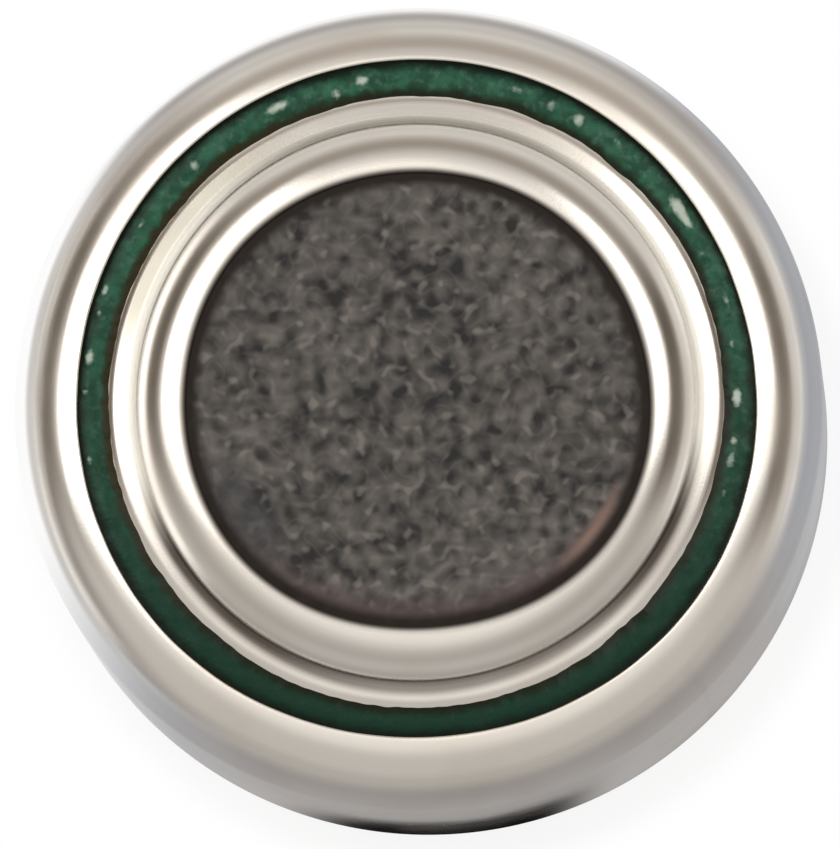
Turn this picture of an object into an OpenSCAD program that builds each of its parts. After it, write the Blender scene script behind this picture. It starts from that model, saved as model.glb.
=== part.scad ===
// Alkaline button cell, 11.6 mm across and 5.4 mm high, with everything that it holds.
// Every piece is a body of revolution about Z. The cell stands on its positive base at z = 0,
// and its negative face is on top. Each outline is drawn with the radius along X and the height
// along Y, and is then turned about the axis.

/* [Cell] */
// Diameter over the can
cell_d = 11.6; // [10:0.1:14]
// Height from the positive base to the top of the negative cap
cell_h = 5.4; // [4.6:0.1:6.6]

/* [Positive can] */
// Thickness of the can's nickel-plated steel
can_wall = 0.25; // [0.2:0.01:0.32]
// Outside radius of the corner round the base
base_round = 0.5; // [0.35:0.05:0.8]
// Outside radius of the crimped shoulder
crimp_round = 1.0; // [0.8:0.05:1.2]
// How far the crimped rim reaches in from the can's side
crimp_reach = 0.92; // [0.76:0.01:1.04]
// How far the negative cap stands above the crimped rim
cap_proud = 0.35; // [0.25:0.05:0.42]

/* [Negative cap] */
// Thickness of the cap's clad sheet
cap_sheet = 0.18; // [0.14:0.01:0.22]
// Height of the cap, from its folded rim to its face
cap_h = 2.4; // [2.1:0.05:2.9]
// Height of the boss above its foot
boss_h = 0.38; // [0.36:0.01:0.42]
// Radius of the boss's crowned shoulder
crown_round = 0.9; // [0.88:0.01:0.94]
// Angle in degrees through which the crowned shoulder turns down
crown_turn = 50; // [46:1:52]
// Radius of the boss's side below the crowned shoulder
boss_round = 0.25; // [0.24:0.01:0.3]
// Radius of the crease between the boss and the flange
crease_round = 0.06; // [0.05:0.01:0.1]
// Angle in degrees at which the flange falls away from the boss
flange_fall = 9; // [6:1:12]
// Radial distance from the boss's foot to the neck below the flange
flange_reach = 0.45; // [0.42:0.01:0.52]
// Radius of the flange's outer edge
flange_round = 0.3; // [0.2:0.02:0.34]
// Radial room between the can's rim and the cap's neck
throat = 0.35; // [0.3:0.01:0.4]
// Depth of the crimp's seat below the flange
seat_drop = 0.75; // [0.65:0.05:0.85]
// Radius of the corner between the neck and the seat
neck_round = 0.12; // [0.06:0.01:0.15]
// Radius of the seat's outer edge
seat_round = 0.25; // [0.24:0.01:0.3]
// Distance from the seat down to the edge of the folded rim
fold_drop = 0.35; // [0.32:0.01:0.5]
// Gap inside the folded rim
fold_gap = 0.04; // [0.02:0.01:0.08]
// Width of the flat, bright rim round the matte disc on the face
matte_rim = 0.01; // [0.01:0.01:0.3]
// Depth to which the matte disc is coined
matte_depth = 0.03; // [0.01:0.01:0.05]

/* [Gasket and sealant] */
// Thickness of the gasket's wall between the can and the cap
gasket_wall = 0.32; // [0.26:0.01:0.4]
// Thickness of the gasket's foot under the cap's folded rim
gasket_foot = 0.4; // [0.3:0.05:0.5]
// Thickness of the gasket's inner wall
gasket_lip = 0.35; // [0.25:0.05:0.45]
// Height of the gasket's inner wall, measured from under its foot
gasket_lip_h = 0.9; // [0.7:0.05:1]
// Depth of the lacquered ring's crown below the can's rim
ring_drop = 0.08; // [0.05:0.01:0.16]
// How much the lacquered ring is crowned
ring_crown = 0.04; // [0.02:0.01:0.06]
// Thickness of the sealing lacquer
sealant_film = 0.04; // [0.02:0.01:0.06]

/* [Contents] */
// Radius of the cathode pellet's lower edge
pellet_round = 0.3; // [0.3:0.05:0.6]
// Thickness of the barrier film over the cathode
film_t = 0.1; // [0.05:0.01:0.15]
// Thickness of the absorbent pad
pad_t = 0.25; // [0.15:0.05:0.4]
// Distance from the can's inside to the edge of the film and the pad
separator_margin = 0.15; // [0.05:0.05:0.3]
// Thickness of the support ring's sheet
ring_sheet = 0.15; // [0.1:0.01:0.2]
// Width of the support ring's web
ring_web = 0.95; // [0.7:0.05:1.2]
// Height of the support ring's leg
ring_leg = 0.5; // [0.4:0.05:0.7]
// Radius inside the support ring's corner
ring_round = 0.1; // [0.05:0.01:0.15]

/* [Fit] */
// Clearance between pieces that are pushed together
fit_gap = 0.02; // [0.01:0.01:0.03]

/* [Hidden] */

// Smoothness of the outlines' arcs and of the turned surfaces
arc_fn = 48;
arc_steps = 10;
turn_fn = 128;
// Longer than any piece, for cuts that run right out
beyond = 2 * (cell_d + cell_h);

// Can
cell_r = cell_d / 2;
cavity_r = cell_r - can_wall;
rim_r = cell_r - crimp_reach;
rim_z = cell_h - cap_proud;

// Cap, from the crimped rim inwards and from the face down
neck_r = rim_r - throat;
boss_r = neck_r - flange_reach;
boss_foot_z = cell_h - boss_h;
seat_z = boss_foot_z - seat_drop;
fold_top_z = seat_z - fold_drop;

// The boss's skin is three arcs that run smoothly into each other: its crowned shoulder, its
// side and the crease at its foot, which runs into the flange. The side turns down until its
// arc meets the crease's.
crease = [boss_r, boss_foot_z] + crease_round * leaning(flange_fall);
side_rise = crease[1] - (cell_h - crown_round) - (crown_round - boss_round) * cos(crown_turn);
side_turn = acos(side_rise / (boss_round + crease_round));
side = crease - (boss_round + crease_round) * leaning(side_turn);
crown = side - (crown_round - boss_round) * leaning(crown_turn);
crown_r = crown[0];
matte_r = crown_r - matte_rim;

// The flange falls in a straight line from the boss's foot to its own rounded edge
flange_r = neck_r - flange_round;
flange_run = flange_r + flange_round * sin(flange_fall) - boss_r;
flange_z = boss_foot_z - flange_run * tan(flange_fall) - flange_round * cos(flange_fall);

// Folded rim, which fits inside the gasket's wall
fold_r = cavity_r - 2 * fit_gap - gasket_wall - sealant_film;
skirt_r = fold_r - cap_sheet - fold_gap;
bend_r = skirt_r + fold_gap / 2;
bend_round = cap_sheet + fold_gap / 2;
bend_z = cell_h - cap_h + bend_round;

// Stack of contents, from the cap's rim down
foot_z = cell_h - cap_h - gasket_foot;
film_z = foot_z - pad_t - film_t;
separator_r = cavity_r - separator_margin;

// Gasket
lip_r = skirt_r - cap_sheet - fit_gap - gasket_lip;
lip_top_z = foot_z + gasket_lip_h;
crown_z = rim_z - ring_drop;
// The cap's rounded edge and the can's rim bound the lacquered ring
ring_in_r = neck_r - flange_round / 2;
ring_w = rim_r - ring_in_r;
ring_arc_r = (ring_w * ring_w / 4 + ring_crown * ring_crown) / (2 * ring_crown);

// Support ring
support_r = cavity_r - fit_gap;
web_in_r = support_r - ring_web;
leg_z = film_z - ring_leg;
support_round = ring_sheet + ring_round;

// Direction that leans out from the axis by an angle
function leaning(angle) = [sin(angle), cos(angle)];

// Points along an arc, from one angle to another
function arc(centre, r, from, to) = [
    for (i = [0 : arc_steps])
        let (a = from + (to - from) * i / arc_steps)
            centre + r * [cos(a), sin(a)]
];

// Everything within radius r and below height top, with its upper corner rounded,
// moved inwards by inset
module rounded_block(r, top, corner, inset = 0) {
    corner_r = max(corner - inset, 0.001);
    square([r - inset - corner_r, top - inset]);
    square([r - inset, top - inset - corner_r]);
    translate([r - inset - corner_r, top - inset - corner_r])
        circle(r = corner_r, $fn = arc_fn);
}

// Everything between two heights
module band(low, high) {
    translate([0, low])
        square([beyond, high - low]);
}

// The can's outline, filled in and moved inwards by inset
module can_outline(inset = 0) {
    corner = base_round - inset;
    intersection() {
        rounded_block(cell_r, rim_z, crimp_round, inset);
        union() {
            band(base_round, rim_z);
            translate([0, inset])
                square([cell_r - base_round, rim_z]);
            translate([cell_r - base_round, base_round])
                circle(r = corner, $fn = arc_fn);
        }
    }
}

// The room inside the can and its mouth, less a clearance
module can_room(gap = 0) {
    can_outline(can_wall + gap);
    translate([0, can_wall + gap])
        square([rim_r - gap, cell_h]);
}

// Points over the boss's skin, moved inwards by inset, from the face's edge to the boss's foot
function boss_skin(inset = 0) = concat(
    arc(crown, crown_round - inset, 90, 90 - crown_turn),
    arc(side, boss_round - inset, 90 - crown_turn, 90 - side_turn),
    arc(crease, crease_round + inset, 270 - side_turn, 270 - flange_fall)
);

// Points over the flange's edge, down the neck and over the crimp's seat, moved inwards by inset
function flange_skin(inset = 0) = concat(
    arc([flange_r, flange_z], flange_round - inset, 90 - flange_fall, 0),
    arc([neck_r + neck_round, seat_z + neck_round], neck_round + inset, 180, 270),
    arc([skirt_r - seat_round, seat_z - seat_round], seat_round - inset, 90, 0)
);

// The same points from last to first
function reversed(points) = [
    for (i = [len(points) - 1 : -1 : 0])
        points[i]
];

// What the gasket and its sealant close round: the cap and its folded rim, moved out by grow
module sealed_outline(grow = 0) {
    polygon(concat(
        [[0, bend_z], [0, cell_h + grow], [boss_r, cell_h + grow]],
        flange_skin(-grow),
        [
            [skirt_r + grow, fold_top_z + grow],
            [fold_r + grow, fold_top_z + grow],
            [fold_r + grow, bend_z],
        ]
    ));
}

// An outline turned about the axis
module turned() {
    rotate_extrude($fn = turn_fn)
        children();
}

// Drawn steel cup whose rim is crimped over the gasket
module positive_can() {
    color("silver")
        turned()
            difference() {
                can_outline();
                can_room();
            }
}

// Pressed pellet of manganese dioxide and graphite, rebated for the support ring
module cathode_pellet() {
    color("dimgray")
        turned()
            difference() {
                translate([0, film_z])
                    mirror([0, 1])
                        rounded_block(support_r, film_z - can_wall, pellet_round);
                difference() {
                    translate([web_in_r - fit_gap, leg_z - fit_gap])
                        square([beyond, beyond]);
                    rounded_block(support_r, film_z, support_round, ring_sheet + fit_gap);
                }
            }
}

// Steel ring of angled section that carries the gasket's foot
module support_ring() {
    color("lightslategray")
        turned()
            difference() {
                intersection() {
                    rounded_block(support_r, film_z, support_round);
                    band(leg_z, film_z);
                }
                rounded_block(support_r, film_z, support_round, ring_sheet);
                square([web_in_r, beyond]);
            }
}

// Film that keeps the zinc away from the cathode
module barrier_film() {
    color("palegoldenrod")
        translate([0, 0, film_z])
            cylinder(r = separator_r, h = film_t, $fn = turn_fn);
}

// Felt that holds the electrolyte
module absorbent_pad() {
    color("ivory")
        translate([0, 0, film_z + film_t])
            cylinder(r = separator_r, h = pad_t, $fn = turn_fn);
}

// Everything under the crowned ring, or that much lower
module under_ring(drop = 0) {
    band(0, crown_z - ring_crown - drop);
    translate([ring_in_r + ring_w / 2, crown_z - ring_arc_r - drop])
        circle(r = ring_arc_r, $fn = 4 * arc_fn);
}

// Nylon ring with a wall, a foot and an inner wall, squeezed up into a crowned ring at the rim
module gasket() {
    color("seagreen")
        turned() {
            difference() {
                intersection() {
                    can_room(fit_gap);
                    under_ring(sealant_film);
                }
                sealed_outline(sealant_film + fit_gap);
                translate([bend_r, bend_z])
                    circle(r = bend_round + fit_gap, $fn = arc_fn);
                square([lip_r, beyond]);
                square([beyond, foot_z]);
            }
            translate([lip_r, foot_z])
                square([gasket_lip, gasket_lip_h]);
        }
}

// Sealing lacquer on the cap inside the gasket, which runs out over the ring to the can's rim
module sealant() {
    color("darkgreen")
        turned()
            difference() {
                intersection() {
                    under_ring();
                    band(bend_z, crown_z);
                    union() {
                        sealed_outline(sealant_film);
                        difference() {
                            square([rim_r, beyond]);
                            under_ring(sealant_film);
                        }
                    }
                }
                sealed_outline();
            }
}

// Zinc powder in a thickened electrolyte, filling the cap
module anode_gel() {
    inset = cap_sheet + fit_gap;
    color("slategray")
        turned()
            polygon(concat(
                [[0, foot_z], [0, cell_h - inset]],
                boss_skin(inset),
                flange_skin(inset),
                [
                    [skirt_r - inset, lip_top_z + fit_gap],
                    [lip_r - fit_gap, lip_top_z + fit_gap],
                    [lip_r - fit_gap, foot_z],
                ]
            ));
}

// Clad sheet drawn into a stepped cap, with a coined disc on its face and its rim folded back
// up outside
module negative_cap() {
    bend = [bend_r, bend_z];
    color("gainsboro")
        turned()
            polygon(concat(
                [
                    [0, cell_h - matte_depth],
                    [matte_r, cell_h - matte_depth],
                    [matte_r, cell_h],
                ],
                boss_skin(),
                flange_skin(),
                arc(bend, fold_gap / 2, -180, 0),
                [[fold_r - cap_sheet, fold_top_z], [fold_r, fold_top_z]],
                arc(bend, bend_round, 0, -180),
                reversed(concat(boss_skin(cap_sheet), flange_skin(cap_sheet))),
                [[0, cell_h - cap_sheet]]
            ));
}

positive_can();
cathode_pellet();
support_ring();
barrier_film();
absorbent_pad();
gasket();
sealant();
anode_gel();
negative_cap();
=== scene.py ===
# %% [markdown]
# # An alkaline button cell
# A button cell is a drawn steel can, a smaller cap that stands out of its mouth, and between them a
# plastic ring that keeps the two apart and seals them. The can's rim is crimped over the ring, and a
# green lacquer closes the joint. Everything is nickel plated, so most of what an eye sees on it is a
# reflection of the room. That decides how the work goes: the turned shapes have to be right first,
# because a shape that is a few degrees off reflects another part of the room.
#
# The measured model comes in as a fixed frame. It has every piece of the cell, the hidden ones too.

# %% Load the frame
import math

import bmesh
import bpy
import numpy as np
from mathutils import Matrix, Vector, noise


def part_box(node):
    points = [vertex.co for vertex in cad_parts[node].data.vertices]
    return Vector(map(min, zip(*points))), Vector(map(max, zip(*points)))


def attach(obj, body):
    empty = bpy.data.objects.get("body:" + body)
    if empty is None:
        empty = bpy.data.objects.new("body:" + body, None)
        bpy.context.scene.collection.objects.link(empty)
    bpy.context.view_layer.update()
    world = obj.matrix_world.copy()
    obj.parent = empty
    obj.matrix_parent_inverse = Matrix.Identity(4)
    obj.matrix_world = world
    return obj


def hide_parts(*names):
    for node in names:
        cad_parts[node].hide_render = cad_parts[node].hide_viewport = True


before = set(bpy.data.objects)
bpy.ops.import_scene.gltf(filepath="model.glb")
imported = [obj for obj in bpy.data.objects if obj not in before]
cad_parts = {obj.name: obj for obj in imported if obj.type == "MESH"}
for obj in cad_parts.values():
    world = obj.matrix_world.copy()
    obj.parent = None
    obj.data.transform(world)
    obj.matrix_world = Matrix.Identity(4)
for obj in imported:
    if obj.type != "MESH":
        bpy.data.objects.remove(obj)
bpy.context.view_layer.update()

print("pieces in the frame:", ", ".join(sorted(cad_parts)))

# %% [markdown]
# ## Sizes
# Every size is in millimetres and turns into metres only when a mesh is made. The outer sizes are read
# from the frame, so that the shells made here can't drift away from it. The radii of the small bends
# can't be read from a box, so they are named here, as a drawing of the part would name them.

# %% Name the sizes
MM = 0.001


def reach(node, axis, high=True):
    """How far a piece reaches along an axis, in millimetres."""
    low_corner, high_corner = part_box(node)
    corner = high_corner if high else low_corner
    return round(corner[axis] / MM, 4)


cell_r = reach("positive_can", 0)
rim_z = reach("positive_can", 2)
face_z = reach("negative_cap", 2)
cap_low_z = reach("negative_cap", 2, high=False)
fold_r = reach("negative_cap", 0)

can_wall = 0.25
base_round = 0.5
crimp_round = 1.0
rim_r = 4.88

cap_sheet = 0.18
crown_round = 0.9
crown_turn = 50
boss_r = 4.08
boss_foot_z = face_z - 0.38
boss_round = 0.25
crease_round = 0.06
flange_fall = 9
neck_r = 4.53
flange_round = 0.3
neck_round = 0.12
seat_z = boss_foot_z - 0.75
seat_round = 0.25
fold_top_z = seat_z - 0.35
fold_gap = 0.04
matte_rim = 0.01
matte_depth = 0.03

film = 0.04
ring_in_r = 4.38
ring_edge_z = 4.93
ring_crown = 0.04

print(f"cell {2 * cell_r:.2f} mm across, {face_z:.2f} mm high, rim at {rim_z:.2f} mm")

# %% [markdown]
# ## Outlines
# A turned piece is drawn as one outline, with the distance from the axis first and the height second.
# Straight runs and arcs that run smoothly into each other are enough for pressed sheet, because a press
# tool is itself made of flats and radii. An outline that follows the same sheet further in, its inside
# face, uses the same arcs with a smaller or larger radius.

# %% Draw arcs and the cap's skin


def leaning(angle):
    """A direction that leans out from the axis by an angle in degrees."""
    return np.array([math.sin(math.radians(angle)), math.cos(math.radians(angle))])


def arc(centre, radius, start, end, steps=14):
    """Points along an arc from one angle to another, in degrees from straight out."""
    angles = np.radians(np.linspace(start, end, steps + 1))
    return [np.array(centre) + radius * np.array([math.cos(a), math.sin(a)]) for a in angles]


def run(start, end, steps):
    """Points along a straight line, without its last one."""
    start, end = np.array(start, float), np.array(end, float)
    return [start + (end - start) * i / steps for i in range(steps)]


crease = np.array([boss_r, boss_foot_z]) + crease_round * leaning(flange_fall)
side_rise = crease[1] - (face_z - crown_round)
side_rise -= (crown_round - boss_round) * math.cos(math.radians(crown_turn))
side_turn = math.degrees(math.acos(side_rise / (boss_round + crease_round)))
side = crease - (boss_round + crease_round) * leaning(side_turn)
crown = side - (crown_round - boss_round) * leaning(crown_turn)
matte_r = crown[0] - matte_rim
struck_r = matte_r - 0.01

flange_r = neck_r - flange_round
fall = math.radians(flange_fall)
flange_run = flange_r + flange_round * math.sin(fall) - boss_r
flange_z = boss_foot_z - flange_run * math.tan(fall) - flange_round * math.cos(fall)

skirt_r = fold_r - cap_sheet - fold_gap
bend_r = skirt_r + fold_gap / 2
bend_round = cap_sheet + fold_gap / 2
bend_z = cap_low_z + bend_round


def boss_skin(inset=0.0, steps=14, start=0.0):
    """The cap's boss from where its crown leans by start degrees down to its foot, moved in by inset."""
    return [
        *arc(crown, crown_round - inset, 90 - start, 90 - crown_turn, 2 * steps),
        *arc(side, boss_round - inset, 90 - crown_turn, 90 - side_turn, steps),
        *arc(crease, crease_round + inset, 270 - side_turn, 270 - flange_fall, steps),
    ]


def flange_skin(inset=0.0, steps=14):
    """The flange's edge, the neck below it and the seat of the crimp, moved in by inset."""
    return [
        *arc([flange_r, flange_z], flange_round - inset, 90 - flange_fall, 0, steps),
        *arc([neck_r + neck_round, seat_z + neck_round], neck_round + inset, 180, 270, steps),
        *arc([skirt_r - seat_round, seat_z - seat_round], seat_round - inset, 90, 0, steps),
    ]


print(f"matte disc {2 * matte_r:.2f} mm across, boss side leans {side_turn:.0f} degrees")

# %% [markdown]
# ## Turning an outline
# Blender's Screw modifier or its Spin tool would turn an outline, but both make a perfect turning. A
# crimped rim, a struck edge and a painted joint aren't perfect, so this helper asks for the outline
# again at each angle, and an outline may change a little on its way round. The mesh is closed, as a real
# sheet is, with an inside and an outside. Two more helpers say how an outline changes: shallow lobes,
# which a tool leaves, and a slight wander.

# %% Turn an outline into a mesh
SAME_PLACE = 1e-8
SHARP_FROM = 35


def turn(name, outline, steps=400, ring=False):
    """A closed mesh from outline(angle), whose points go round the section. A ring's section is a
    loop, and any other one starts and ends on the axis."""
    angles = np.linspace(0, 2 * math.pi, steps, endpoint=False)
    section = np.array([outline(a) for a in angles]) * MM
    count = section.shape[1]
    points = np.zeros((steps, count, 3))
    points[..., 0] = section[..., 0] * np.cos(angles)[:, None]
    points[..., 1] = section[..., 0] * np.sin(angles)[:, None]
    points[..., 2] = section[..., 1]
    faces = []
    for i in range(steps):
        j = (i + 1) % steps
        for k in range(count if ring else count - 1):
            n = (k + 1) % count
            faces.append((i * count + k, j * count + k, j * count + n, i * count + n))
    mesh = bpy.data.meshes.new(name)
    mesh.from_pydata(points.reshape(-1, 3).tolist(), [], faces)
    close(mesh)
    made = bpy.data.objects.new(name, mesh)
    bpy.context.scene.collection.objects.link(made)
    print(f"{name}: {len(mesh.vertices)} points, {len(mesh.polygons)} faces")
    return made


def close(mesh):
    """Joins the points that meet on the axis, faces the mesh outwards and marks its sharp edges."""
    work = bmesh.new()
    work.from_mesh(mesh)
    bmesh.ops.remove_doubles(work, verts=work.verts, dist=SAME_PLACE)
    bmesh.ops.recalc_face_normals(work, faces=work.faces)
    work.to_mesh(mesh)
    work.free()
    mesh.shade_smooth()
    mesh.set_sharp_from_angle(angle=math.radians(SHARP_FROM))


def lobed(angle, lobes, cosine=math.cos):
    """The sum of a few shallow lobes round the axis, each with a count, a size and a peak in degrees."""
    return sum(size * cosine(count * (angle - math.radians(peak))) for count, size, peak in lobes)


def wave(angle, size, seed):
    """A smooth number between about -1 and 1 that comes back to itself after a full turn. A larger
    size gives shorter waves."""
    return noise.noise(Vector((math.cos(angle) * size, math.sin(angle) * size, seed)))


# %% [markdown]
# ## The camera
# The cell is looked at from a little off its axis and from far away with a long lens, as small parts are
# shown in a catalogue. A tracking constraint could aim the camera, but it has no clear idea of up when
# the camera looks almost straight down. So the camera's axes are set directly.

# %% Set up the camera
VIEW_TILT = 7.5
VIEW_SIDE = -70
VIEW_FAR = 200
PIXELS_PER_MM = 69.26
FRAME_HIGH = 849
AIM = (-0.045, -0.058)


def put_camera():
    tilt, around = math.radians(VIEW_TILT), math.radians(VIEW_SIDE)
    back = Vector((math.sin(tilt) * math.cos(around), math.sin(tilt) * math.sin(around), math.cos(tilt)))
    up = Vector((0, 1, 0))
    up = (up - back * up.dot(back)).normalized()
    right = up.cross(back)
    data = bpy.data.cameras.new("camera")
    data.sensor_width = 36
    data.lens = data.sensor_width * PIXELS_PER_MM * VIEW_FAR / FRAME_HIGH
    data.clip_start = 0.01
    data.clip_end = 10
    camera = bpy.data.objects.new("camera", data)
    middle = Vector((0, 0, face_z / 2)) + AIM[0] * right + AIM[1] * up
    turned = Matrix((right, up, back)).transposed().to_4x4()
    camera.matrix_world = Matrix.Translation((middle + VIEW_FAR * back) * MM) @ turned
    bpy.context.scene.collection.objects.link(camera)
    bpy.context.scene.camera = camera
    return camera


camera = put_camera()
print(f"lens {camera.data.lens:.0f} mm, {VIEW_FAR} mm from the cell, {VIEW_TILT} degrees off its axis")

# %% [markdown]
# ## Shader arithmetic
# A procedural finish is mostly small sums: a mask times a noise, one minus that, and so on. Drawn as
# nodes they are hard to read, so a socket is wrapped in a class that knows the operators and adds the
# Math nodes by itself. Everything that isn't a plain number goes through one method, `node`.

# %% Make the shader bench


class Wire:
    """A number, colour or vector on its way from one shader node to the next."""

    def __init__(self, bench, socket):
        self.bench = bench
        self.socket = socket

    def math(self, operation, *values):
        return self.bench.node("Math", {"operation": operation}, dict(enumerate(values)))

    def __add__(self, other):
        return self.math("ADD", self, other)

    def __radd__(self, other):
        return self.math("ADD", other, self)

    def __sub__(self, other):
        return self.math("SUBTRACT", self, other)

    def __rsub__(self, other):
        return self.math("SUBTRACT", other, self)

    def __mul__(self, other):
        return self.math("MULTIPLY", self, other)

    def __rmul__(self, other):
        return self.math("MULTIPLY", other, self)

    def size(self):
        return self.math("ABSOLUTE", self)

    def most(self, other):
        return self.math("MAXIMUM", self, other)

    def rise(self, low, high):
        """0 below low, 1 above high and a smooth step between them."""
        settings = {"interpolation_type": "SMOOTHSTEP"}
        return self.bench.node("MapRange", settings, {"Value": self, "From Min": low, "From Max": high})

    def bump_at(self, middle, width):
        """1 at middle, falling smoothly to 0 at width to either side."""
        return 1 - (self - middle).size().rise(0, width)


class Bench:
    """The node tree of one finish."""

    def __init__(self, tree):
        self.tree = tree
        tree.nodes.clear()

    def node(self, kind, settings=None, sockets=None, out=0):
        """Adds a node of that kind, with its settings first and then its sockets' values or wires."""
        made = self.tree.nodes.new("ShaderNode" + kind)
        for key, value in (settings or {}).items():
            setattr(made, key, value)
        for key, value in (sockets or {}).items():
            socket = self.find(made.inputs, key)
            if isinstance(value, Wire):
                self.tree.links.new(value.socket, socket)
            else:
                socket.default_value = value
        return Wire(self, self.find(made.outputs, out)) if len(made.outputs) else None

    def find(self, sockets, key):
        if isinstance(key, int):
            return sockets[key]
        return next(s for s in sockets if s.enabled and key in (s.name, s.identifier))

    def mix(self, share, first, second):
        """A colour between two colours."""
        sockets = {"Factor": share, "A": paint(first), "B": paint(second)}
        return self.node("Mix", {"data_type": "RGBA"}, sockets, "Result")

    def noise(self, place, scale, detail=2.0, rough=0.5):
        sockets = {"Vector": place, "Scale": scale, "Detail": detail, "Roughness": rough}
        return self.node("TexNoise", {}, sockets)


def paint(colour):
    """A plain colour gets the fourth number that a colour socket wants, and a wire stays a wire."""
    return (*colour, 1) if isinstance(colour, tuple) and len(colour) == 3 else colour


def parts(bench, vector):
    """The x, y and z of a vector."""
    return [bench.node("SeparateXYZ", {}, {"Vector": vector}, axis) for axis in "XYZ"]


def degrees_off(x, y, side):
    """Degrees round from a side, either way, for a place or a direction with that x and y."""
    across, along = math.sin(math.radians(side)), math.cos(math.radians(side))
    forward = x * along + y * across
    sideways = y * along - x * across
    return forward.math("ARCTAN2", sideways, forward).size() * math.degrees(1)


print("shader bench ready")


# %% [markdown]
# ## The room
# Polished metal has hardly any colour of its own, so the room is part of the finish. Area lamps and a
# real tent round the cell would do, but each would be one more object to place. Here the whole room is
# painted on the world by direction, with soft edges. It is a pale, slightly warm tent with a large soft
# panel high on the left, a smaller one high on the right, and two weak ones near the floor. Below the
# high panels the tent is darker, where it is folded away, and beside them are two darker hems. Those
# places draw the thin brown lines on the cell. Without them polished metal looks like grey plastic. The
# sum of it lights a white card to about white.

# %% Light the room
PALE = (1.0, 0.995, 0.975)
BROWN = (1.0, 0.87, 0.74)

# Each place in the room: the side it is on and half its width round, its low and high ends down from
# overhead, and how soft its edges are, all in degrees.
LEFT_PANEL = (151, 31, 12, 42, 9)
RIGHT_PANEL = (35, 29, 8, 37, 9)
LEFT_LOW_PANEL = (172, 36, 77, 112, 10)
RIGHT_LOW_PANEL = (8, 28, 84, 112, 10)
LEFT_FOLD = (158, 28, 50, 74, 12)
RIGHT_FOLD = (13, 25, 40, 67, 12)
BACK_FOLD = (90, 70, 44, 62, 12)
LEFT_HEM = (186, 8, 34, 50, 10)
RIGHT_HEM = (-8, 9, 30, 48, 12)

# The plain tent: its light overhead, what it loses down to its sides and again down to the floor, and
# what its back gains near the floor.
TENT_TOP = 1.15
TENT_SIDE_LOSS = 0.4
TENT_LOW_LOSS = 0.28
TENT_BACK_GAIN = 0.34

# The light of each panel, and the share of the tent's light that each fold or hem takes away.
LEFT_LIGHT = 2.6
RIGHT_LIGHT = 2.2
LEFT_LOW_LIGHT = 1.3
RIGHT_LOW_LIGHT = 0.6
FOLD_SHADE = 0.68
BACK_FOLD_SHADE = 0.25
LEFT_HEM_SHADE = 0.45
RIGHT_HEM_SHADE = 0.35


class Sky:
    """Directions in the room: how far from overhead, and how far round from a given side."""

    def __init__(self, bench):
        self.bench = bench
        self.x, self.y, z = parts(bench, bench.node("TexCoord", {}, {}, "Generated"))
        self.zenith = z.math("ARCCOSINE", z) * math.degrees(1)

    def off(self, side):
        """Degrees round from that side, either way."""
        return degrees_off(self.x, self.y, side)

    def patch(self, side, half, low, high, soft):
        """A place in the room with soft edges, in degrees."""
        wide = 1 - self.off(side).rise(half - soft, half + soft)
        tall = self.zenith.rise(low - soft / 2, low + soft / 2)
        return wide * tall * (1 - self.zenith.rise(high - soft / 2, high + soft / 2))


def light_room():
    world = bpy.data.worlds.new("room")
    bpy.context.scene.world = world
    world.use_nodes = True
    bench = Bench(world.node_tree)
    sky = Sky(bench)
    sides, low = sky.zenith.rise(10, 38), sky.zenith.rise(58, 94)
    tent = TENT_TOP - TENT_SIDE_LOSS * sides - TENT_LOW_LOSS * low
    back = 1 - sky.off(90).rise(95, 130)
    tent = tent + TENT_BACK_GAIN * (back * sky.zenith.rise(64, 78))
    left_fold, right_fold = sky.patch(*LEFT_FOLD), sky.patch(*RIGHT_FOLD)
    back_fold = sky.patch(*BACK_FOLD)
    tent = tent * (1 - FOLD_SHADE * left_fold) * (1 - FOLD_SHADE * right_fold)
    tent = tent * (1 - BACK_FOLD_SHADE * back_fold)
    tent = tent * (1 - LEFT_HEM_SHADE * sky.patch(*LEFT_HEM))
    tent = tent * (1 - RIGHT_HEM_SHADE * sky.patch(*RIGHT_HEM))
    lamps = LEFT_LIGHT * sky.patch(*LEFT_PANEL) + RIGHT_LIGHT * sky.patch(*RIGHT_PANEL)
    lamps = lamps + LEFT_LOW_LIGHT * sky.patch(*LEFT_LOW_PANEL)
    lamps = lamps + RIGHT_LOW_LIGHT * sky.patch(*RIGHT_LOW_PANEL)
    browned = left_fold.most(right_fold).most(back_fold * 0.6)
    colour = bench.mix(browned, PALE, BROWN)
    light = bench.node("Background", {}, {"Color": colour, "Strength": tent + lamps})
    bench.node("OutputWorld", {}, {"Surface": light})


light_room()
print("the room is painted on the world")

# %% [markdown]
# ## The floor
# The cell stands on a white sheet. Near the cell the sheet keeps some of its own shading, which is what
# seats it. Further out the sheet shows plain white to the camera, and to everything that mirrors it.
# Close in front of the cell's foot the sheet is in deep shade, and the polished foot of the can mirrors
# it as a thin dark line. A mix of two shaders by the kind of ray makes both, with no extra lamp.

# %% Lay the floor
FLOOR_HALF = 600
FLOOR_DROP = 0.01
SHADOW_SIDE = (0.15, -0.15)
SHADOW_EDGE = (5.85, 6.4)
FOOT_SHADE = (0.41, -5.9)
FOOT_SHADE_HALF = (3.5, 0.85)
FOOT_SHADE_EDGE = (0.45, 1.0)
SHEET = (0.9, 0.9, 0.9)
PLAIN_WHITE = (1.0, 1.0, 1.0)
DEEP_SHADE = (0.01, 0.01, 0.01)

# How much of what the camera sees of the sheet is plain white: by the cell, and what is added further out.
WHITE_BY_CELL = 0.85
WHITE_ADDED = 0.14


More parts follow.
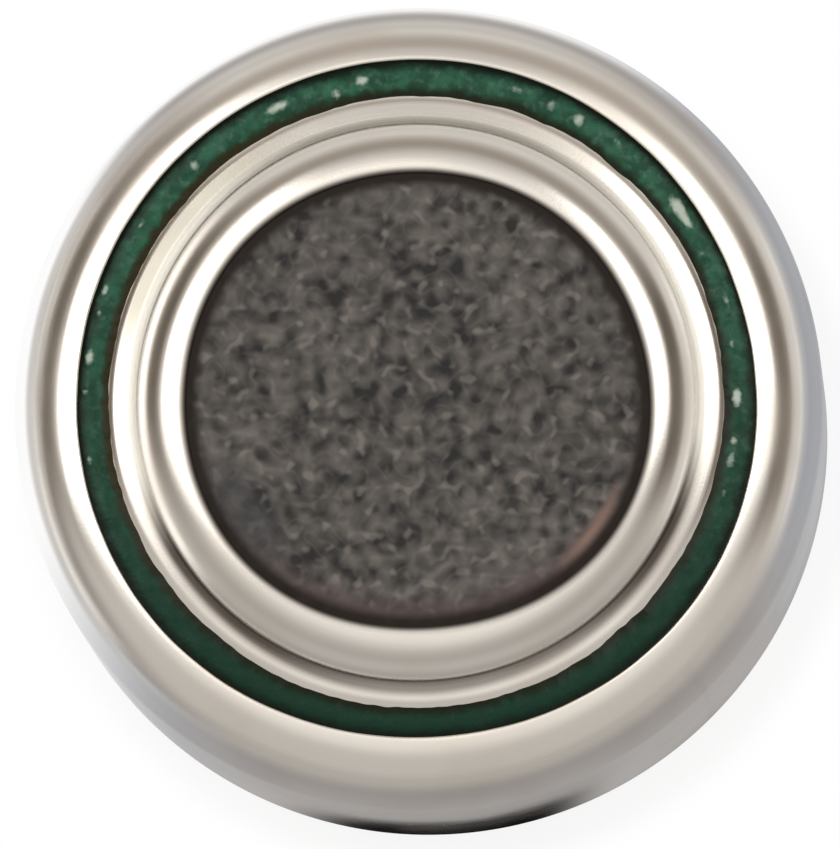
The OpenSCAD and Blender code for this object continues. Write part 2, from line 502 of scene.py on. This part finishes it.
def far_from(bench, place, centre, half=(1.0, 1.0)):
    """The distance on the floor from a centre in millimetres, each way counted in its own half width."""
    offset = (-centre[0] * MM, -centre[1] * MM, 0)
    place = bench.node("VectorMath", {"operation": "ADD"}, {0: place, 1: offset})
    shares = (1 / (half[0] * MM), 1 / (half[1] * MM), 0)
    place = bench.node("VectorMath", {"operation": "MULTIPLY"}, {0: place, 1: shares})
    return bench.node("VectorMath", {"operation": "LENGTH"}, {0: place}, "Value")


def lay_floor():
    mesh = bpy.data.meshes.new("floor")
    h, z = FLOOR_HALF * MM, -FLOOR_DROP * MM
    mesh.from_pydata([(-h, -h, z), (h, -h, z), (h, h, z), (-h, h, z)], [], [(0, 1, 2, 3)])
    floor = bpy.data.objects.new("floor", mesh)
    bpy.context.scene.collection.objects.link(floor)
    material = bpy.data.materials.new("white_sheet")
    material.use_nodes = True
    bench = Bench(material.node_tree)
    place = bench.node("TexCoord", {}, {}, "Object")
    distance = far_from(bench, place, SHADOW_SIDE)
    mirrored = bench.node("LightPath", {}, {}, "Is Glossy Ray")
    seen = bench.node("LightPath", {}, {}, "Is Camera Ray").most(mirrored)
    seen = seen.most(bench.node("LightPath", {}, {}, "Is Transmission Ray"))
    foot = (1 - far_from(bench, place, FOOT_SHADE, FOOT_SHADE_HALF).rise(*FOOT_SHADE_EDGE)) * mirrored
    share = seen * (WHITE_BY_CELL + WHITE_ADDED * distance.rise(*SHADOW_EDGE))
    sheet = bench.node("BsdfDiffuse", {}, {"Color": paint(SHEET)})
    white = bench.node("Emission", {}, {"Color": paint(PLAIN_WHITE), "Strength": 1.0})
    dark = bench.node("BsdfDiffuse", {}, {"Color": paint(DEEP_SHADE)})
    shader = bench.node("MixShader", {}, {0: share, 1: sheet, 2: white})
    shader = bench.node("MixShader", {}, {0: foot, 1: shader, 2: dark})
    bench.node("OutputMaterial", {}, {"Surface": shader})
    mesh.materials.append(material)
    return floor


floor = lay_floor()
print(f"the floor is {2 * FLOOR_HALF} mm square")

# %% [markdown]
# ## Places on a turned piece
# Marks on a turned piece follow the turning: scratches from the press run round it, and stains sit at
# a distance from its axis. They could be painted on an image, but then they would need UVs. Instead each
# finish starts from the same places: the position in millimetres, the distance from the axis, the height
# and the angle round it. A mark is a soft step or a soft bump in one of them, times another.

# %% Find places on a piece


class Places:
    """The places on a piece, in millimetres and degrees."""

    def __init__(self, bench):
        self.bench = bench
        metres = bench.node("TexCoord", {}, {}, "Object")
        self.spot = bench.node("VectorMath", {"operation": "SCALE"}, {"Vector": metres, "Scale": 1 / MM})
        self.x, self.y, self.z = parts(bench, self.spot)
        self.r = self.distance((0, 0))

    def distance(self, centre):
        """How far it is, seen from above, from a place given as x and y."""
        flat = {"X": self.x - centre[0], "Y": self.y - centre[1]}
        flat = self.bench.node("CombineXYZ", {}, flat)
        return self.bench.node("VectorMath", {"operation": "LENGTH"}, {0: flat}, "Value")

    def off(self, side):
        """Degrees round from that side, either way."""
        return degrees_off(self.x, self.y, side)

    def on_side(self, side, full, gone):
        """1 on that side of the piece, falling smoothly to 0 between two numbers of degrees off it."""
        return 1 - self.off(side).rise(full, gone)

    def stroke(self, start, end, half):
        """A soft straight stroke, seen from above, between two places given as x and y."""
        length = math.dist(start, end)
        ahead = ((end[0] - start[0]) / length, (end[1] - start[1]) / length)
        x, y = self.x - start[0], self.y - start[1]
        along = x * ahead[0] + y * ahead[1]
        aside = (y * ahead[0] - x * ahead[1]).size()
        ends = along.rise(0, 3 * half) * (1 - along.rise(length - 3 * half, length))
        return ends * (1 - aside.rise(0, half))

    def rings(self, scale, wander=0.05):
        """A noise drawn out round the axis, as a press tool leaves it."""
        drift = self.bench.noise(self.spot, 0.6, 1.0) * wander
        section = {"X": self.r + drift, "Y": self.z + drift, "Z": self.off(0) * 0.002}
        return self.bench.noise(self.bench.node("CombineXYZ", {}, section), scale, 3.0)


def finish(name, colour, rough, metal=0.0, height=None, depth=0.0, **constants):
    """A material from a colour and a roughness, with an optional bump of that depth in millimetres."""
    bench = colour.bench
    sockets = {"Base Color": colour, "Roughness": rough, "Metallic": metal}
    for key, value in constants.items():
        sockets[key.replace("_", " ")] = value
    if height is not None:
        bump = {"Height": height, "Distance": depth * MM, "Strength": 1.0}
        sockets["Normal"] = bench.node("Bump", {}, bump)
    shader = bench.node("BsdfPrincipled", {}, sockets)
    bench.node("OutputMaterial", {}, {"Surface": shader})
    print("finish:", name)


def new_finish(name):
    """An empty material and the bench to build it on."""
    material = bpy.data.materials.new(name)
    material.use_nodes = True
    return material, Bench(material.node_tree)


print("ready to mark by position, radius, height and side")

# %% [markdown]
# ## Nickel plate
# Tumbled nickel plate is a mirror that has been handled: its reflections are soft, with very faint rings
# from drawing the cup and a slightly yellower, duller bloom in places. Metallic at 1 with a low roughness
# gives the mirror, and the noise goes into the roughness and the bump rather than into strong colour.
#
# The larger marks are laid over that, with painted light and shade. On the can, the wall is rough on the
# near side, and its colour is painted shade on the near side and round the back and the right, and painted
# light on the left. It keeps its polish at the near foot, and the shoulder has bands and a line of painted
# shade. On the cap, the boss has a darker ring and the flange two darker places. Painted light, a pale and
# less metallic colour, fills the crease at the back and the sides, and brown painted shade fills it on the
# near side. Where the disc was struck the plate darkens, partly its own darker edge and partly painted
# shade of the step.

# %% Name the marks and the painted light and shade
NICKEL = (0.675, 0.628, 0.575)
NICKEL_WARM = (0.60, 0.54, 0.47)
# Painted shade on the can's wall on the near side and round the back and the right, and painted light on
# its left.
NICKEL_NEAR_SHADE = (0.395, 0.365, 0.345)
NICKEL_SIDE_SHADE = (0.345, 0.350, 0.370)
NICKEL_LEFT_LIGHT = (0.88, 0.87, 0.855)
NICKEL_LEFT_HIGHLIGHT = (0.99, 0.985, 0.98)
NICKEL_CREAM = (0.27, 0.252, 0.212)
# Darker nickel: painted shade in bands and a line on the can's shoulder, and a darker ring and two darker
# places on the cap.
NICKEL_DARKER = (0.33, 0.30, 0.27)
NICKEL_SHADE_LINE = (0.25, 0.23, 0.21)
# Painted light in the cap's crease at the back and the sides.
CREASE_LIGHT_BACK = (0.37, 0.34, 0.295)
CREASE_LIGHT_SIDE = (0.84, 0.80, 0.72)
# Painted shade, brown, in the cap's crease on the near side.
CREASE_SHADE = (0.085, 0.070, 0.058)
# The struck edge's dark line: partly the edge's own darker colour, partly painted shade of the step.
DISC_EDGE_DARK_AND_SHADE = (0.026, 0.021, 0.018)

# Where a mark is round the piece: its middle, where it starts to fade and where it is gone, in degrees.
# Where the wall's painted shade and painted light fall, and where the wall is rough.
ROUGH_AND_SHADED_WALL = (-75, 32, 66)
LIT_WALL = (137, 58, 100)
HIGHLIGHT_WALL = (165, 30, 75)
POLISHED_FOOT = (-86, 8, 32)
BACK_BAND = (88, 40, 66)
LEFT_BANDS = (175, 28, 58)
CREAM_FLANGE = (144, 15, 42)
DARKER_FLANGE = (-24, 8, 26)
SHADED_CREASE = (-86, 60, 82)
THIN_CREASE_SHADE = (-78, 14, 50)

# How high on the can a mark is, in millimetres: where it starts and ends, or its middle and its reach.
WALL_TOP = (4.60, 4.88)
BACK_BAND_Z = (4.65, 0.25)
LEFT_BAND_Z = (4.70, 0.12)
LEFT_LINE_Z = (4.83, 0.13)
POLISH_TOP = (1.3, 3.7)
WEAR_TOP = (4.70, 4.94)
SIDE_TOP = (4.30, 4.60)

# How far out on the cap a mark is, in the same way.
DARK_RING_R = (3.70, 0.17)
FLANGE_IN, FLANGE_OUT = (4.06, 4.10), (4.29, 4.36)
CREASE_LIGHT_IN, CREASE_LIGHT_OUT = (3.97, 4.01), (4.07, 4.17)
CREASE_SHADE_IN, CREASE_SHADE_OUT = (3.93, 4.00), (4.08, 4.22)
CREASE_R = (4.085, 0.07)
STRUCK_REACH = 0.14

# The centres of two marks that sit a little towards the near side, and the disc's struck edge.
DARK_RING_CENTRE = (0, -0.055)
CREASE_SHADE_CENTRE = (0, -0.06)
STRUCK_LOBES = [(1, 0.056, -57), (2, 0.026, -13), (3, 0.018, -24), (4, 0.026, -40)]

struck_ends = [struck_r + lobed(math.radians(angle), STRUCK_LOBES) for angle in range(360)]
print(f"the struck edge is {min(struck_ends):.2f} to {max(struck_ends):.2f} mm from the axis")

# %% Lay the marks and the painted light and shade on the plate


def can_marks(bench, at, colour, rough):
    """Painted shade and light on the can's wall, where the wall is rough, and painted shade on its
    shoulder.
    """
    # The wall's colour is painted shade on the near side and the other sides, and painted light on the
    # left.
    near, lit = at.on_side(*ROUGH_AND_SHADED_WALL), at.on_side(*LIT_WALL)
    painted_highlight = bench.mix(at.on_side(*HIGHLIGHT_WALL), NICKEL_LEFT_LIGHT, NICKEL_LEFT_HIGHLIGHT)
    painted_wall_light = bench.mix(near, bench.mix(lit, NICKEL_SIDE_SHADE, painted_highlight), NICKEL_NEAR_SHADE)
    colour = bench.mix(1 - at.z.rise(*WALL_TOP), colour, painted_wall_light)
    # Bands and a line of painted shade on the shoulder, at the back and on the left.
    back_band = at.z.bump_at(*BACK_BAND_Z) * at.on_side(*BACK_BAND)
    colour = bench.mix(back_band * 0.92, colour, NICKEL_DARKER)
    left = at.on_side(*LEFT_BANDS)
    colour = bench.mix(at.z.bump_at(*LEFT_BAND_Z) * left * 0.55, colour, NICKEL_DARKER)
    colour = bench.mix(at.z.bump_at(*LEFT_LINE_Z) * left * 0.95, colour, NICKEL_SHADE_LINE)
    polished = (1 - at.z.rise(*POLISH_TOP)) * at.on_side(*POLISHED_FOOT)
    worn = (1 - at.z.rise(*WEAR_TOP)) * near * (1 - polished)
    side = (1 - at.z.rise(*SIDE_TOP)) * (1 - lit) * (1 - near)
    return colour, rough + 0.35 * worn + 0.22 * side, 1.0


def past_struck_edge(at):
    """How far outside the disc's struck edge it is, in millimetres."""
    angle = at.x.math("ARCTAN2", at.y, at.x)
    return at.r - struck_r - lobed(angle, STRUCK_LOBES, lambda turned: turned.math("COSINE", turned))


def cap_marks(bench, at, colour, rough):
    """A darker ring on the cap's boss, darker places on its flange, painted light and shade in the crease,
    and the dark struck edge.
    """
    # A darker ring on the boss, and two darker places on the flange.
    dark_ring = at.distance(DARK_RING_CENTRE).bump_at(*DARK_RING_R)
    colour = bench.mix(dark_ring * 0.42, colour, NICKEL_DARKER)
    flange = at.r.rise(*FLANGE_IN) * (1 - at.r.rise(*FLANGE_OUT))
    colour = bench.mix(flange * at.on_side(*CREAM_FLANGE), colour, NICKEL_CREAM)
    colour = bench.mix(flange * at.on_side(*DARKER_FLANGE) * 0.45, colour, NICKEL_DARKER)
    near = at.on_side(*SHADED_CREASE)
    # Painted light in the crease at the back and the sides: a pale, less metallic colour that fills its
    # shade.
    crease_light = at.r.rise(*CREASE_LIGHT_IN) * (1 - at.r.rise(*CREASE_LIGHT_OUT)) * (1 - near)
    colour = bench.mix(crease_light, colour, bench.mix(at.off(90).rise(18, 62), CREASE_LIGHT_BACK, CREASE_LIGHT_SIDE))
    # Painted shade, brown, in the crease on the near side.
    out = at.distance(CREASE_SHADE_CENTRE)
    thick = 1 - 0.25 * at.on_side(*THIN_CREASE_SHADE)
    crease_shade = out.rise(*CREASE_SHADE_IN) * (1 - out.rise(*CREASE_SHADE_OUT)) * near * thick * 0.95
    colour = bench.mix(crease_shade, colour, CREASE_SHADE)
    # The dark line at the struck edge: partly the plate's own darker colour, partly painted shade of the
    # step.
    struck = 1 - past_struck_edge(at).rise(0, STRUCK_REACH)
    colour = bench.mix(struck, colour, DISC_EDGE_DARK_AND_SHADE)
    rough = rough + 0.35 * at.r.bump_at(*CREASE_R) + 0.2 * crease_shade + 0.4 * struck
    return colour, rough, 1 - 0.9 * crease_light


def plate(name, soft, marks):
    """The plate of one piece: a mirror with a soft bloom, faint rings and fine grain, and its marks with
    their painted light and shade.
    """
    material, bench = new_finish(name)
    at = Places(bench)
    bloom = bench.noise(at.spot, 0.55, 3.0).rise(0.42, 0.7)
    rings = at.rings(7.0)
    grain = bench.noise(at.spot, 22.0, 3.0, 0.6)
    colour = bench.mix(bloom * 0.45 + rings * 0.2, NICKEL, NICKEL_WARM)
    colour, rough, metal = marks(bench, at, colour, soft + 0.08 * bloom + 0.07 * rings + 0.04 * grain)
    finish(name, colour, rough, metal, rings * 0.8 + grain * 0.35, 0.0016)
    return material


can_plate = plate("can_nickel", 0.12, can_marks)
cap_plate = plate("cap_nickel", 0.10, cap_marks)

# %% [markdown]
# ## The can
# The can is drawn from one disc of steel: a flat base with a rounded corner, a straight wall, and a
# shoulder that the crimping die rolled inwards. The cut edge of the sheet ends at the mouth. A real cut
# edge is never quite sharp and never quite round, so the lip gets a small radius, a few shallow lobes and
# a slight wander. Bevelling a plain cylinder would be quicker, but its reflections would show it.

# %% Turn the can
LIP_ROUND = 0.035
LIP_BACK = 0.01
LIP_WANDER = 0.006
LIP_LOBES = [(1, 0.021, 79), (2, 0.015, -67), (3, 0.026, -28), (4, 0.013, -39)]


def lip_at(angle):
    """The distance of the lip from the axis: a few shallow lobes from the crimping, and a slight wander."""
    return rim_r - LIP_BACK + lobed(angle, LIP_LOBES) + LIP_WANDER * wave(angle, 9.0, 5.0)


def can_outline(angle):
    lip = lip_at(angle)
    centre = np.array((cell_r - crimp_round, rim_z - crimp_round))
    tilt = math.degrees(math.asin((lip + LIP_ROUND - centre[0]) / (crimp_round - LIP_ROUND)))
    outer = [
        *run((0, 0), (cell_r - base_round, 0), 8),
        *arc((cell_r - base_round, base_round), base_round, -90, 0, 10),
        *arc(centre, crimp_round, 0, 90 - tilt, 36),
        *arc(centre + (crimp_round - LIP_ROUND) * leaning(tilt), LIP_ROUND, 90 - tilt, 180, 6),
    ]
    inside = crimp_round - can_wall
    inner = [
        *arc(centre, inside, math.degrees(math.acos((lip - centre[0]) / inside)), 0, 18),
        *arc((cell_r - base_round, base_round), base_round - can_wall, 0, -90, 8),
        np.array((0.0, can_wall)),
    ]
    return [*outer, *inner]


can = turn("can_shell", can_outline)
can.data.materials.append(can_plate)
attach(can, "root")
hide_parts("positive_can")

# %% [markdown]
# ## The coined disc
# The middle of the cap is coined: a die presses it down by a few hundredths and leaves it matt. The grain
# is about a tenth of a millimetre. Four noises are added up: the grain, worm-like ridges where a noise
# passes its middle, pale specks where another is high, and slow clouds. The grain and the ridges are the
# bump too. The disc's dark tone is painted shade, for a dark reflection from overhead. Near its edge the
# disc darkens to almost black, partly its own darker edge and partly painted shade of the step. It has a
# grey smear at its left, a pale scratch and a darker brownish patch on its near side, and a little reddish
# colour between near side and right.

# %% Mix the matt finish
# The disc's own grain, over a dark tone that is painted shade for a dark reflection from overhead.
DISC_DARK = (0.004, 0.003, 0.003)
DISC_LIGHT = (0.158, 0.140, 0.124)
DISC_SMEAR = (0.040, 0.039, 0.041)
REDDISH_PATCH = (0.20, 0.125, 0.098)
DARK_BROWN_PATCH = (0.070, 0.044, 0.045)
SMEARED_EDGE = (-147, 8, 22)
DARK_PATCH_EDGE = (-82, 30, 70)
REDDISH_EDGE = (-37, 3, 17)

# How far out those marks are, or how far past the struck edge, and two strokes, each with its two ends
# and half its width, in millimetres.
SMEAR_R = (2.5, 2.85)
REDDISH_PATCH_R = (3.19, 0.16)
DARK_PATCH_PAST = (-0.55, -0.12)
DARK_EDGE_PAST = (-0.25, -0.07)
SMEAR_STROKE = ((-2.87, -1.07), (-2.10, -1.26), 0.05)
PALE_SCRATCH = ((-0.25, -2.93), (0.60, -2.28), 0.08)


def matt_disc():
    """The matt, mottled finish of the disc, its dark tone painted shade, from its grain to the dark line
    along its edge.
    """
    material, bench = new_finish("coined_disc")
    at = Places(bench)
    grain = bench.noise(at.spot, 5.1, 0.4, 0.5)
    worms = bench.noise(at.spot, 3.9, 0.0).bump_at(0.5, 0.11)
    specks = bench.noise(at.spot, 5.8, 0.0).rise(0.58, 0.84)
    cloud = bench.noise(at.spot, 1.2, 1.0)
    mottle = grain * 1.39 + cloud * 0.35 + worms * 0.12 + specks * 0.52 - 0.55
    colour = bench.mix(mottle, DISC_DARK, DISC_LIGHT)
    past = past_struck_edge(at)
    smear = at.r.rise(*SMEAR_R) * at.on_side(*SMEARED_EDGE)
    smear = smear.most(at.stroke(*SMEAR_STROKE))
    colour = bench.mix(smear * 0.6, colour, DISC_SMEAR)
    # A darker brownish patch inside the disc's near edge.
    dark_patch = past.rise(*DARK_PATCH_PAST) * at.on_side(*DARK_PATCH_EDGE)
    colour = bench.mix(dark_patch * 0.8, colour, DARK_BROWN_PATCH)
    colour = bench.mix(at.stroke(*PALE_SCRATCH) * 0.5, colour, DISC_LIGHT)
    # A reddish patch near the edge, between the near side and the right.
    reddish_patch = at.r.bump_at(*REDDISH_PATCH_R) * at.on_side(*REDDISH_EDGE)
    colour = bench.mix(reddish_patch * 0.95, colour, REDDISH_PATCH)
    # The dark line along the edge: partly the disc's own darker colour, partly painted shade of the step.
    rim = past.rise(*DARK_EDGE_PAST) * (1 - 0.5 * reddish_patch)
    colour = bench.mix(rim * 0.95, colour, DISC_EDGE_DARK_AND_SHADE)
    rough = 0.52 + 0.2 * grain
    height = grain + worms * 0.2
    finish("coined_disc", colour, rough, 0.35 + 0.65 * rim, height, 0.010)
    return material


disc_finish = matt_disc()

# %% [markdown]
# ## The cap
# The cap is one pressing: the coined face, a rounded shoulder, a steep side, a flat flange that falls
# away a little, and below the mouth of the can a neck, a seat for the crimp and a rim folded back up
# outside. Only the part down to the flange shows. The rest is turned all the same, because the sheet is
# one piece and its mesh should be closed. The disc's struck edge isn't a true circle, so the step at the
# edge of the disc follows the same lobes as its dark line.

# %% Turn the cap
STEP_RUN = 0.002


def struck_at(angle):
    """The distance of the disc's struck edge from the axis: near a circle, and a little off centre."""
    return struck_r + lobed(angle, STRUCK_LOBES)


def cap_outline(angle):
    struck, floor_z = struck_at(angle), face_z - matte_depth
    start = math.degrees(math.asin(max(0.0, struck + 2 * STEP_RUN - crown[0]) / crown_round))
    top_z = crown[1] + math.sqrt(crown_round**2 - max(0.0, struck + STEP_RUN - crown[0]) ** 2)
    bend = (bend_r, bend_z)
    inside = [*boss_skin(cap_sheet, 6), *flange_skin(cap_sheet, 6)]
    return [
        *run((0, floor_z), (struck, floor_z), 10),
        np.array((struck, floor_z)),
        np.array((struck + STEP_RUN, top_z)),
        *boss_skin(start=start),
        *flange_skin(steps=10),
        *arc(bend, fold_gap / 2, -180, 0, 4),
        np.array((fold_r - cap_sheet, fold_top_z)),
        np.array((fold_r, fold_top_z)),
        *arc(bend, bend_round, 0, -180, 10),
        *reversed(inside),
        np.array((0.0, face_z - cap_sheet)),
    ]


def is_on_disc(face):
    """Whether a face of the cap is part of the disc's level floor."""
    middle = face.center / MM
    level = abs(middle.z - (face_z - matte_depth)) < STEP_RUN / 2
    return level and math.hypot(middle.x, middle.y) < crown[0] + 0.15


cap = turn("cap_shell", cap_outline)
cap.data.materials.append(cap_plate)
cap.data.materials.append(disc_finish)
for face in cap.data.polygons:
    face.material_index = 1 if is_on_disc(face) else 0
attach(cap, "root")
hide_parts("negative_cap")

# %% [markdown]
# ## The green seal
# A green lacquer is run round the joint while it is thin, and it dries as an uneven, glossy bead: it
# creeps up the cap in tongues and leaves small lumps. Bump alone could draw the lumps, but they catch the
# light and have a shape of their own, so they are in the mesh. The lacquer also lines the cap's rim inside
# the gasket, where it is only a film. Two numbers are kept at each point of the mesh, the lift by the lumps
# and the place across the bead, and the finish reads them: painted shade at both edges, painted glints on
# the lumps.

# %% Run the lacquer
BEAD_STEPS = 720
BEAD_ACROSS = 26
LUMP_HIGH = 0.034
# The lumps: where round the bead and how far out they are, how high (0 to 1), half their length in
# degrees and half their width in millimetres.
LUMPS = [
    (0.3, 4.58, 1.0, 1.6, 0.07), (10, 4.57, 0.5, 1.0, 0.05), (18, 4.66, 0.45, 2.2, 0.05),
    (27, 4.59, 0.4, 0.7, 0.07), (33.5, 4.64, 0.8, 1.6, 0.06), (36.5, 4.66, 1.0, 2.0, 0.09),
    (52, 4.70, 0.45, 1.3, 0.05), (60, 4.66, 0.8, 1.1, 0.09), (65.5, 4.67, 0.6, 0.8, 0.09),
    (72, 4.70, 0.4, 1.5, 0.06), (99.5, 4.69, 0.9, 1.2, 0.07), (104.5, 4.58, 0.65, 0.8, 0.09),
    (115, 4.69, 0.9, 2.2, 0.07), (133, 4.66, 0.65, 0.9, 0.08), (147, 4.70, 0.4, 1.2, 0.05),
    (160, 4.74, 0.7, 1.1, 0.05), (164, 4.72, 0.5, 0.8, 0.05), (172, 4.72, 0.9, 1.3, 0.06),
    (178, 4.74, 0.5, 0.6, 0.08), (190, 4.74, 0.5, 1.0, 0.05), (343, 4.60, 0.4, 1.0, 0.05),
    (349, 4.58, 0.65, 1.6, 0.06), (352.5, 4.58, 0.65, 0.9, 0.06),
]


def lump_at(radius, angle):
    """How much the lumps lift the lacquer at a place, from 0 to about 1."""
    lift = 0.0
    for where, middle, high, along, across in LUMPS:
        turned = (math.degrees(angle) - where + 180) % 360 - 180
        if abs(turned) < 4 * along:
            lift += high * math.exp(-((turned / along) ** 2) - ((radius - middle) / across) ** 2)
    return lift


def inner_edge(angle):
    """How far in the lacquer creeps up the cap."""
    return ring_in_r + 0.02 + 0.028 * wave(angle, 7.0, 11.0) + 0.014 * wave(angle, 26.0, 12.0)


def outer_edge(angle):
    """How far out the lacquer reaches, just under the can's lip."""
    return lip_at(angle) + 0.5 * LIP_ROUND


def place_in_bead(angle, s, start):
    """A point of the bead's open face, from its inner edge at 0 to the can's lip at 1."""
    tilt = math.asin((start - flange_r) / flange_round)
    foot = np.array((start, flange_z + flange_round * math.cos(tilt)))
    return foot + (np.array((outer_edge(angle), ring_edge_z)) - foot) * s


def bead_outline(angle):
    """The bead's open face, then its hidden underside: the film on the gasket and on the cap."""
    creep = 0.5 + 0.5 * math.sin(angle + 0.3)
    start = inner_edge(angle)
    tilt = math.asin((start - flange_r) / flange_round)
    top = []
    for i in range(BEAD_ACROSS + 1):
        s = i / BEAD_ACROSS
        place = place_in_bead(angle, s, start)
        swell = 4 * s * (1 - s)
        spot = Vector((place[0] * math.cos(angle), place[0] * math.sin(angle), 7.0))
        rough = noise.noise(spot * 3.2) * 0.010 + noise.noise(spot * 8.0) * 0.005 * creep
        place[1] += ring_crown * swell + swell * (rough + LUMP_HIGH * lump_at(place[0], angle))
        top.append(place)
    under = [
        np.array((lip_at(angle), ring_edge_z - film)),
        *arc([flange_r, flange_z], flange_round + film, 40, 0, 6),
        *arc([neck_r + neck_round, seat_z + neck_round], neck_round - film, 180, 270, 5),
        *arc([skirt_r - seat_round, seat_z - seat_round], seat_round + film, 90, 0, 6),
        np.array((skirt_r + film, fold_top_z + film)),
        np.array((fold_r + film, fold_top_z + film)),
        np.array((fold_r + film, bend_z)),
        np.array((fold_r, bend_z)),
        np.array((fold_r, fold_top_z)),
        np.array((skirt_r, fold_top_z)),
        *reversed(arc([skirt_r - seat_round, seat_z - seat_round], seat_round, 90, 0, 6)),
        *reversed(arc([neck_r + neck_round, seat_z + neck_round], neck_round, 180, 270, 5)),
        *arc([flange_r, flange_z], flange_round, 0, 90 - math.degrees(tilt) - 1, 8),
    ]
    return [*top, *under]


GREEN = (0.004, 0.029, 0.015)
GREEN_BRIGHT = (0.024, 0.105, 0.058)
GREEN_EDGE_SHADE = (0.004, 0.010, 0.005)
GREEN_MILKY = (0.10, 0.17, 0.13)
OLIVE = (0.024, 0.020, 0.005)
# Painted glints on the lacquer's lumps.
PAINTED_GLINT = (0.42, 0.48, 0.41)
OLIVE_SIDE = (162, 28, 75)


def lacquer():
    """The dried lacquer: deep green, lighter and milky in patches towards the far side, with painted shade
    along its edges and painted glints on its lumps.
    """
    material, bench = new_finish("sealing_lacquer")
    at = Places(bench)
    lift = bench.node("Attribute", {"attribute_name": "lump"}, {}, "Fac")
    across = bench.node("Attribute", {"attribute_name": "across"}, {}, "Fac")
    ragged = across + (bench.noise(at.spot, 5.0, 2.0) - 0.5) * 0.3
    middle = ragged.rise(0.05, 0.36) * (1 - ragged.rise(0.60, 0.92))
    upper = at.y.rise(-4.4, 3.4)
    patches = bench.noise(at.spot, 3.4, 2.0).rise(0.36, 0.66)
    spots = bench.noise(at.spot, 9.0, 2.0).rise(0.5, 0.72)
    # Painted shade along both edges of the bead, under the lip and against the cap.
    colour = bench.mix(middle, GREEN_EDGE_SHADE, GREEN)
    colour = bench.mix(middle * upper * (0.35 + 0.65 * patches), colour, GREEN_BRIGHT)
    colour = bench.mix(middle * upper * spots * 0.35, colour, GREEN_MILKY)
    left = at.on_side(*OLIVE_SIDE)
    colour = bench.mix((1 - ragged.rise(0.08, 0.34)) * (0.3 + 0.65 * left), colour, OLIVE)
    # Painted glints: pale patches on the lumps, where they would catch the lamps.
    painted_glint = (lift + (bench.noise(at.spot, 15.0, 2.0) - 0.5) * 0.6).rise(0.18, 0.85)
    colour = bench.mix(painted_glint, colour, PAINTED_GLINT)
    rough = 0.16 + 0.22 * bench.noise(at.spot, 6.0, 2.0)
    height = bench.noise(at.spot, 14.0, 3.0)
    finish("sealing_lacquer", colour, rough, 0.0, height, 0.006, Specular_IOR_Level=0.10)
    return material


def mark_bead(piece):
    """Keeps, at each point of the bead, the lift by lumps and the place across, both from 0 to 1."""
    lifts, places = [], []
    for point in piece.data.vertices:
        x, y, z = point.co / MM
        radius, angle = math.hypot(x, y), math.atan2(y, x)
        inner, outer = inner_edge(angle), outer_edge(angle)
        lifts.append(min(1.0, lump_at(radius, angle)) if z > ring_edge_z - film / 2 else 0.0)
        places.append(min(1.0, max(0.0, (radius - inner) / (outer - inner))))
    for name, values in (("lump", lifts), ("across", places)):
        piece.data.attributes.new(name, "FLOAT", "POINT").data.foreach_set("value", values)


bead = turn("lacquer_bead", bead_outline, BEAD_STEPS, ring=True)
mark_bead(bead)
bead.data.materials.append(lacquer())
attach(bead, "root")
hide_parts("sealant")

# %% [markdown]
# ## What the cell holds
# Nothing below the seal shows while the cell is whole, but the pieces are there, and they get the
# finish they would have in a cut-open cell: a black, pressed powder, a bare steel ring, a pale film, a
# white felt, a green plastic gasket and a grey zinc gel. Their meshes are the measured ones.

# %% Finish the inner pieces


def dress(node, name, dark, light, scale, rough, metal, depth):
    """Gives a measured piece a mottled finish between two colours, with its grain as the bump."""
    material, bench = new_finish(name)
    at = Places(bench)
    grain = bench.noise(at.spot, scale, 4.0, 0.6)
    cloud = bench.noise(at.spot, scale / 6, 2.0)
    colour = bench.mix((grain * 0.6 + cloud * 0.5).rise(0.35, 0.8), dark, light)
    finish(name, colour, rough + 0.15 * grain, metal, grain, depth)
    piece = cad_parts[node]
    piece.data.materials.clear()
    piece.data.materials.append(material)


dress("cathode_pellet", "cathode_mix", (0.012, 0.012, 0.013), (0.045, 0.044, 0.043), 14, 0.7, 0.0, 0.02)
dress("support_ring", "ring_steel", (0.42, 0.41, 0.39), (0.60, 0.58, 0.55), 9, 0.25, 1.0, 0.002)
dress("barrier_film", "film", (0.62, 0.55, 0.38), (0.74, 0.68, 0.50), 5, 0.35, 0.0, 0.002)
dress("absorbent_pad", "felt", (0.62, 0.60, 0.54), (0.84, 0.82, 0.77), 18, 0.9, 0.0, 0.03)
dress("gasket", "gasket_nylon", (0.020, 0.110, 0.060), (0.030, 0.150, 0.085), 4, 0.4, 0.0, 0.003)
dress("anode_gel", "zinc_gel", (0.14, 0.15, 0.16), (0.34, 0.35, 0.36), 16, 0.4, 0.5, 0.02)

# %% [markdown]
# ## Finish
# The render is shown without any film-like curve, so that a colour comes out as it was mixed.

# %% Finish
bpy.context.scene.view_settings.view_transform = "Standard"
